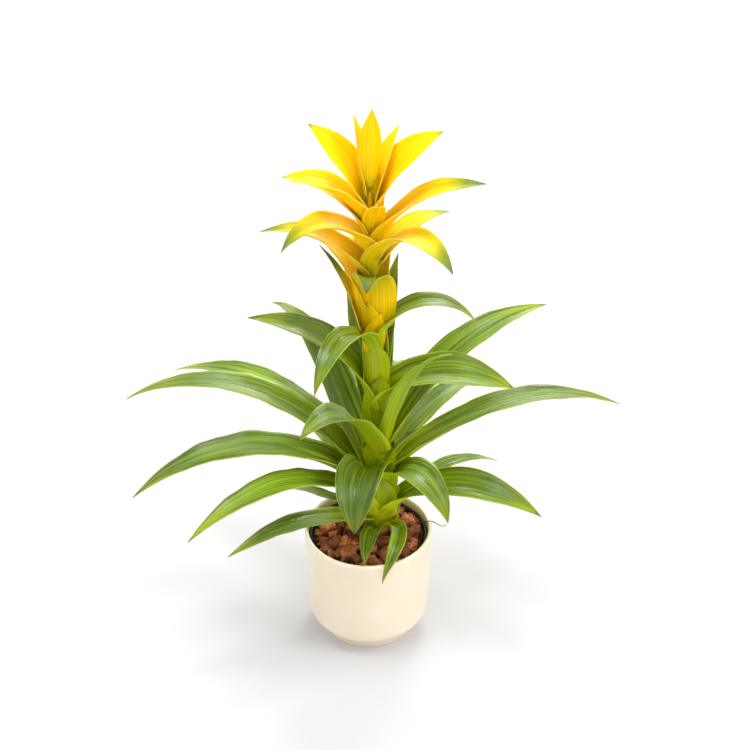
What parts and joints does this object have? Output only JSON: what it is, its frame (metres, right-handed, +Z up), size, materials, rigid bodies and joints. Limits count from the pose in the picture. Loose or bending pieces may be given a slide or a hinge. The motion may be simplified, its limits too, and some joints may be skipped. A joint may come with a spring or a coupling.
{
  "type": "potted bromeliad",
  "caption": "Bromeliad with arching strap leaves and an upright spike of yellow bracts, in bark in a round glazed cover pot.",
  "frame": {"origin": "centre of the cover pot's foot, on the surface it stands on", "axes": "+Z up; -Y is the side that the plant is seen from, +X to its right"},
  "size_m": [0.4822, 0.3355, 0.554],
  "materials": {
    "cover_pot": "cream satin glaze",
    "nursery_pot": "dark matte",
    "bark_mix": "rough, damp bark",
    "bark_chip": "rough bark",
    "stem": "smooth, waxy",
    "leaf": "smooth, glossy leaf",
    "bract": "smooth, satin bract"
  },
  "bodies": {
    "root": {"cover_pot": "cover_pot", "nursery_pot": "nursery_pot", "bark_mix": "bark_mix", "flower_stem": "stem", "bark_chip_1": "bark_chip", "bark_chip_2": "bark_chip", "bark_chip_3": "bark_chip", "bark_chip_4": "bark_chip", "bark_chip_5": "bark_chip", "bark_chip_6": "bark_chip", "leaf_01": "leaf", "leaf_02": "leaf", "leaf_03": "leaf", "leaf_04": "leaf", "leaf_05": "leaf", "leaf_06": "leaf", "leaf_07": "leaf", "leaf_08": "leaf", "leaf_09": "leaf", "leaf_10": "leaf", "leaf_11": "leaf", "leaf_12": "leaf", "leaf_13": "leaf", "leaf_14": "leaf", "leaf_15": "leaf", "leaf_16": "leaf", "leaf_17": "leaf", "leaf_18": "leaf", "leaf_19": "leaf", "leaf_20": "leaf", "leaf_21": "leaf", "leaf_22": "leaf", "leaf_23": "leaf", "leaf_24": "leaf", "leaf_25": "leaf", "leaf_26": "leaf", "leaf_27": "leaf", "leaf_28": "leaf", "leaf_29": "leaf", "leaf_30": "leaf", "bract_01": "bract", "bract_02": "bract", "bract_03": "bract", "bract_04": "bract", "bract_05": "bract", "bract_06": "bract", "bract_07": "bract", "bract_08": "bract", "bract_09": "bract", "bract_10": "bract", "bract_11": "bract", "bract_12": "bract", "bract_13": "bract", "bract_14": "bract", "bract_15": "bract", "bract_16": "bract", "bract_17": "bract", "bract_18": "bract", "bract_19": "bract"}
  },
  "joints": []
}
